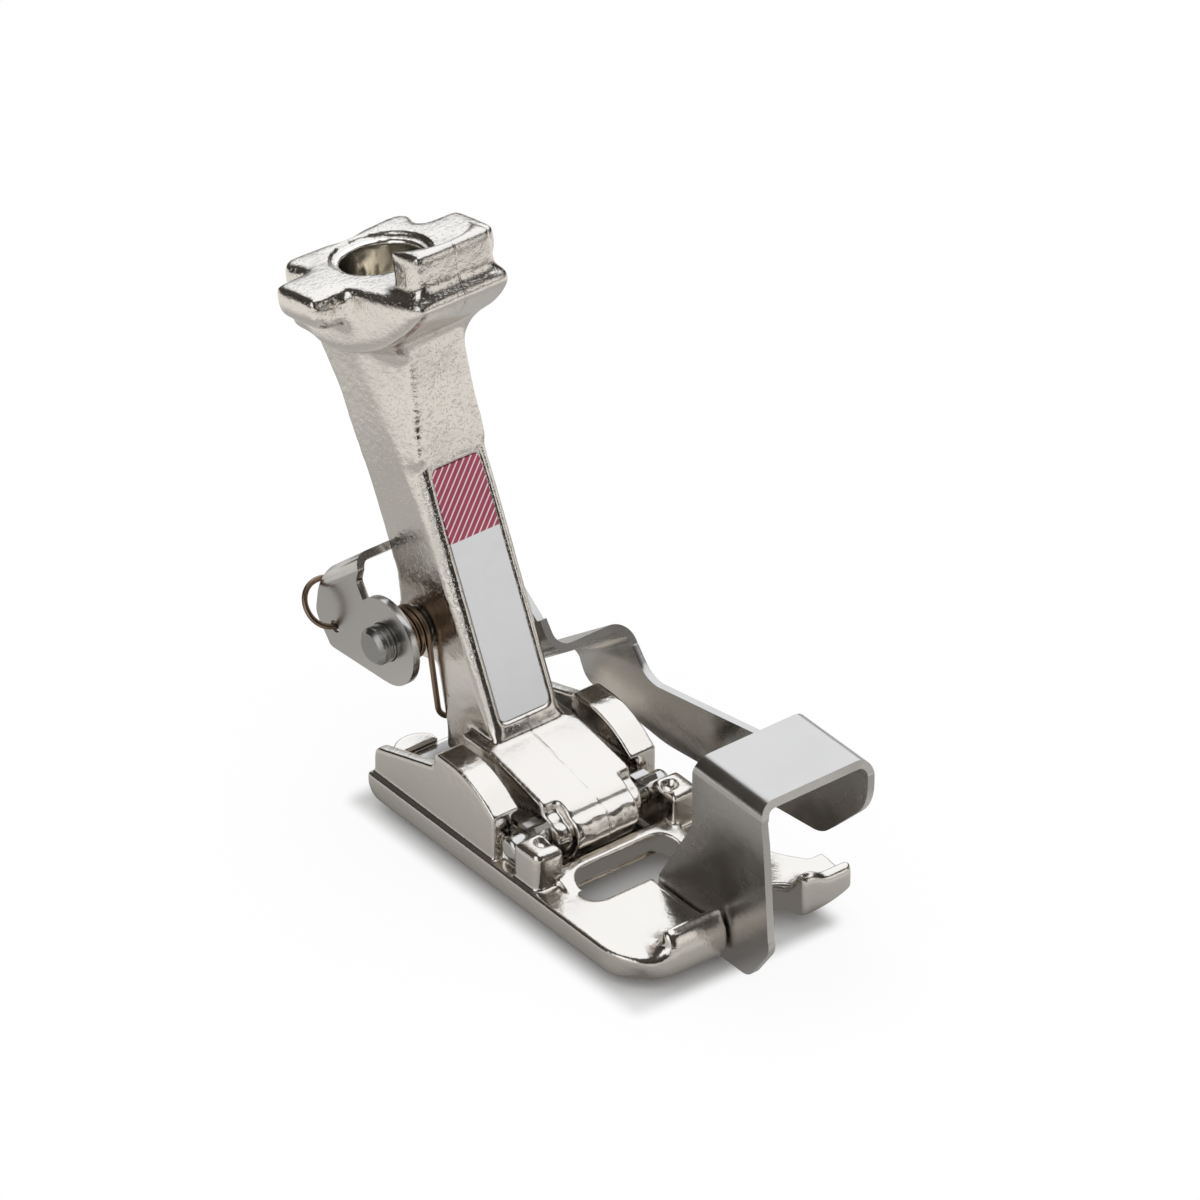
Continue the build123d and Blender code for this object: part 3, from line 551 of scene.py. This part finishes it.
shank = solid_of("shank", "shank_casting")
cast_skin(
    shank,
    voxel=0.09 * mm,
    rounds=20,
    wave=0.03 * mm,
    wave_size=1.3 * mm,
    keep=0.55,
    shape=shank_shape,
    softer=shank_softer,
    extra=130,
)
plate = nickel(
    "shank_nickel",
    tint=(0.80, 0.755, 0.70),
    rough=0.13,
    peel=0.026 * mm,
    peel_size=0.40 * mm,
    pits=0.30,
    calm=9 * mm,
)
# The bore's walls get a brighter, warmer tint than the plate: painted light, standing in for
# light that reaches into the bore.
bore_painted_light = nickel(
    "bore_wall_painted_light",
    tint=(0.985, 0.945, 0.87),
    rough=0.12,
    peel=0.004 * mm,
    peel_size=0.8 * mm,
    pits=0.0,
    calm=9 * mm,
)
shank.data.materials.append(plate)
shank.data.materials.append(bore_painted_light)
# Faces inside the bore take the painted light.
for face in shank.data.polygons:
    across, back, up = in_shank(np.array([face.center]) / mm)[:, 0]
    if up > bore_low and np.hypot(across, back - bore_back) < bore_wall:
        face.material_index = 1
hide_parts("shank")
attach(shank, "shank")


# Sole: one zinc casting, nickel plated and polished brighter than the shank. The pin in the
# shank's knuckle lies in its two notches, where the leaf spring holds it, so the toes can
# tip up. Lengths in the shape functions are in millimetres.
hollow_from, hollow_length, hollow_rise = 9.3, 3.0, 0.55
hollow_left, hollow_right = (-4.9, -3.4), (6.6, 7.8)
hollow_low, hollow_fade = 0.4, 1.2
lip_low, lip_tall, lip_from = 1.2, 2, (11.9, 12.3)
lip_lean, left_lip_end = 0.40, 0.3
corner_from, corner_length, corner_rise, corner_curve = 6.3, 3.4, 1.05, 1.5
corner_ahead = (9.0, 12.4)
under_half, under_cut = 3.9, 0.9
under_from, under_to, under_top = (2.5, 2.9), (3.7, 4.2), (0.45, 0.75)
toes_from = (10.6, 12.0)


def sole_shape(at):
    """The hollow that leads up to the lips, which lean back at the left, the right toe's
    raised lower corner, and the undercut below the bar of the needle opening."""
    x, y, z = at.T.copy()
    hollow = np.clip((-hollow_from - y) / hollow_length, 0, 1) ** 2
    hollow *= ease(x, *hollow_left)
    hollow *= 1 - ease(x, *hollow_right)
    at[:, 2] += hollow_rise * hollow * np.clip((z - hollow_low) / hollow_fade, 0, 1)
    raised = np.clip(z - lip_low, 0, lip_tall) * ease(-y, *lip_from)
    at[:, 1] += lip_lean * raised * (x < left_lip_end)
    corner = corner_rise * np.clip((x - corner_from) / corner_length, 0, 1) ** corner_curve
    corner *= ease(-y, *corner_ahead)
    at[:, 2] = np.maximum(at[:, 2], corner)
    under = (np.abs(x) < under_half) * ease(-y, *under_from) * (1 - ease(-y, *under_to))
    under *= 1 - ease(z, *under_top)
    at[:, 1] += under_cut * under
    return at


def sole_softer(at):
    """Where the sole is rounder: its toes."""
    return ease(-at[:, 1], *toes_from)


sole = solid_of("sole", "sole_casting")
cast_skin(
    sole,
    voxel=0.085 * mm,
    rounds=10,
    wave=0.02 * mm,
    wave_size=1.8 * mm,
    keep=0.5,
    shape=sole_shape,
    softer=sole_softer,
    extra=34,
)
polished_plate = nickel(
    "sole_nickel",
    tint=(0.81, 0.765, 0.705),
    rough=0.12,
    peel=0.016 * mm,
    peel_size=0.36 * mm,
    pits=0.12,
    calm=-9 * mm,
)
sole.data.materials.append(polished_plate)
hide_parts("sole")
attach(sole, "sole")


# Label: a thin printed plate that lies in the recess on the stem, light grey with a crimson
# field of thin pale diagonal stripes over its upper part. Its film has a slight gloss.
stripe_pitch = 0.52 * mm
stripe_share = 0.24
stripe_edge = 0.04
field_share = 0.29
field_edge = 0.02 * mm
ink_cloud_scale = 900.0
crimson_dark = (0.29, 0.038, 0.075, 1)
crimson_light = (0.42, 0.060, 0.105, 1)
stripe_colour = (0.86, 0.66, 0.70, 1)
grey_dark = (0.72, 0.72, 0.725, 1)
grey_light = (0.78, 0.78, 0.785, 1)
film_rough = 0.38
label_low, label_high = (Vector(corner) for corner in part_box("label"))
label_foot = Vector((0, label_low.y, label_low.z))
label_top = Vector((0, label_high.y, label_high.z))
label_up = (label_top - label_foot).normalized()
field_length = field_share * (label_high.z - label_low.z) / label_up.z
printed = bpy.data.materials.new("printed_film")
printed.use_nodes = True
ink = printed.node_tree
ink.nodes.clear()
ink_place = wire(ink, "TexCoord")
from_top = wire(ink, "VectorMath", {
    0: ink_place.outputs["Object"],
    1: label_top,
}, operation="SUBTRACT")
along = wire(ink, "VectorMath", {0: from_top, 1: label_up}, operation="DOT_PRODUCT")
across = wire(ink, "SeparateXYZ", {"Vector": ink_place.outputs["Object"]})
slant = wire(ink, "Math", {
    0: across.outputs["X"],
    1: along.outputs["Value"],
}, operation="SUBTRACT")
turns = wire(ink, "Math", {0: slant, 1: stripe_pitch}, operation="DIVIDE")
phase = wire(ink, "Math", {0: turns}, operation="FRACT")
from_line = wire(ink, "Math", {0: phase, 1: 0.5}, operation="SUBTRACT")
line_side = wire(ink, "Math", {0: from_line}, operation="ABSOLUTE")
striped = wire(ink, "MapRange", {
    "Value": line_side,
    "From Min": stripe_share / 2 - stripe_edge,
    "From Max": stripe_share / 2 + stripe_edge,
    "To Min": 1.0,
    "To Max": 0.0,
})
in_field = wire(ink, "MapRange", {
    "Value": along.outputs["Value"],
    "From Min": -field_length - field_edge,
    "From Max": -field_length + field_edge,
})
ink_cloud = wire(ink, "TexNoise", {
    "Vector": ink_place.outputs["Object"],
    "Scale": ink_cloud_scale,
    "Detail": 3.0,
})
crimson = wire(ink, "MixRGB", {
    "Fac": ink_cloud.outputs["Fac"],
    "Color1": crimson_dark,
    "Color2": crimson_light,
})
field = wire(ink, "MixRGB", {"Fac": striped, "Color1": crimson, "Color2": stripe_colour})
plain_grey = wire(ink, "MixRGB", {
    "Fac": ink_cloud.outputs["Fac"],
    "Color1": grey_dark,
    "Color2": grey_light,
})
print_colour = wire(ink, "MixRGB", {"Fac": in_field, "Color1": plain_grey, "Color2": field})
film = wire(ink, "BsdfPrincipled", {"Base Color": print_colour, "Roughness": film_rough})
wire(ink, "OutputMaterial", {"Surface": film})
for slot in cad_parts["label"].material_slots:
    slot.material = printed


# Guide: one folded stainless sheet, half a millimetre thick, with a fine brushed finish and
# broken edges. Its cheeks turn on the guide pin, and its blade runs in the sole's slot.
# Lengths in the outline's corrections are in millimetres.
blade_sides = (0.3, 1.0)
blade_front_from = -14
neck_low, neck_high = 8.0, 10.85
blade_edge_high, blade_edge_low = (-16.05, 11.0), (-16.74, 2.4)
strip_inner = 8.1
strip_front_from, strip_corner_top = -15.6, 9.5
strip_corner = (-16.1, 8.858)
corner_growth = 2.6
flat_angle = radians(0.5)
edge_angle = radians(40)
steel_cloud_scale = 320.0
steel_cloud_range = (0.35, 0.65)
steel_less, steel_more = 0.04, 0.06


def break_edges(piece, break_width):
    """Merges flat facets and breaks the sharp edges of a folded sheet or a turned pin."""
    flat = piece.modifiers.new("flat", "DECIMATE")
    flat.decimate_type = "DISSOLVE"
    flat.angle_limit = flat_angle
    edge = piece.modifiers.new("edge", "BEVEL")
    edge.width = break_width
    edge.segments = 2
    edge.limit_method = "ANGLE"
    edge.angle_limit = edge_angle
    even = piece.modifiers.new("even", "WEIGHTED_NORMAL")
    even.keep_sharp = False
    piece.data.shade_smooth()
    apply_all(piece)


def steel(name, tint, rough, brush_scale, brush_depth):
    """Satin sheet or turned steel with fine marks along one direction."""
    material = bpy.data.materials.new(name)
    material.use_nodes = True
    tree = material.node_tree
    tree.nodes.clear()
    place = wire(tree, "TexCoord")
    along = wire(tree, "Mapping", {
        "Vector": place.outputs["Object"],
        "Scale": brush_scale,
    })
    marks = wire(tree, "TexNoise", {"Vector": along, "Scale": 1.0, "Detail": 3.0})
    clouds = wire(tree, "TexNoise", {
        "Vector": place.outputs["Object"],
        "Scale": steel_cloud_scale,
        "Detail": 3.0,
    })
    dull = wire(tree, "MapRange", {
        "Value": clouds.outputs["Fac"],
        "From Min": steel_cloud_range[0],
        "From Max": steel_cloud_range[1],
        "To Min": rough - steel_less,
        "To Max": rough + steel_more,
    })
    bump = wire(tree, "Bump", {
        "Strength": 1.0,
        "Distance": brush_depth,
        "Height": marks.outputs["Fac"],
    })
    metal = wire(tree, "BsdfPrincipled", {
        "Base Color": (*tint, 1),
        "Metallic": 1.0,
        "Roughness": dull,
        "Normal": bump,
    })
    wire(tree, "OutputMaterial", {"Surface": metal})
    return material


guide = solid_of("guide", "guide_sheet")
edge_ahead = blade_edge_low[0] - blade_edge_high[0]
edge_height = blade_edge_high[1] - blade_edge_low[1]
for corner in guide.data.vertices:
    x, y, z = corner.co / mm
    in_blade = blade_sides[0] < x < blade_sides[1] and y < blade_front_from
    if in_blade and neck_low < z < neck_high:
        y = blade_edge_high[0] + (blade_edge_high[1] - z) / edge_height * edge_ahead
    if x > strip_inner and y < strip_front_from and z < strip_corner_top:
        y = strip_corner[0] + corner_growth * (y - strip_corner[0])
        z = strip_corner[1] + corner_growth * (z - strip_corner[1])
    corner.co = Vector((x, y, z)) * mm
break_edges(guide, break_width=0.07 * mm)
guide.data.materials.append(steel(
    "stainless_satin",
    tint=(0.61, 0.59, 0.565),
    rough=0.24,
    brush_scale=(9000, 900, 9000),
    brush_depth=0.003 * mm,
))
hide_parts("guide")
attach(guide, "guide")


# Torsion spring: one brown tempered wire, round, coiled on the guide pin. Its bar lies
# behind the stem and its other end rings round the left cheek into the hook hole.
facet_join = radians(50)
any_shape = radians(180)


def round_wire(piece):
    """Makes the smooth round wire from its eight-sided solid."""
    shell = bmesh.new()
    shell.from_mesh(piece.data)
    bmesh.ops.join_triangles(
        shell,
        faces=shell.faces,
        angle_face_threshold=facet_join,
        angle_shape_threshold=any_shape,
    )
    shell.to_mesh(piece.data)
    shell.free()
    finer = piece.modifiers.new("finer", "SUBSURF")
    finer.levels = 1
    finer.render_levels = 1
    apply_all(piece)
    piece.data.shade_smooth()


spring = solid_of("torsion_spring", "torsion_spring_wire")
round_wire(spring)
spring.data.materials.append(steel(
    "tempered_wire",
    tint=(0.30, 0.215, 0.15),
    rough=0.30,
    brush_scale=(4000, 4000, 4000),
    brush_depth=0.002 * mm,
))
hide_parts("torsion_spring")
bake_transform(spring)


# Guide pin and sole pin: turned steel with fine rings from the tool, the guide pin darker.
# The guide pin sits in the stem's boss, and the guide's two cheeks turn on it. The sole pin
# sits in the shank's knuckle.
guide_pin = solid_of("guide_pin", "guide_pin_turned")
break_edges(guide_pin, break_width=0.04 * mm)
guide_pin.data.materials.append(steel(
    "dark_steel",
    tint=(0.40, 0.39, 0.375),
    rough=0.32,
    brush_scale=(9000, 900, 900),
    brush_depth=0.003 * mm,
))
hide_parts("guide_pin")
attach(guide_pin, "shank")
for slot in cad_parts["sole_pin"].material_slots:
    slot.material = steel(
        "bright_steel",
        tint=(0.66, 0.64, 0.61),
        rough=0.16,
        brush_scale=(9000, 900, 900),
        brush_depth=0.001 * mm,
    )


# Leaf spring: a flat polished steel spring. Its bar lies on the sole's plate at the heel,
# and its two tongues press on the ends of the sole pin.
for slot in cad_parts["leaf_spring"].material_slots:
    slot.material = steel(
        "leaf_steel",
        tint=(0.62, 0.605, 0.585),
        rough=0.20,
        brush_scale=(900, 6000, 900),
        brush_depth=0.002 * mm,
    )
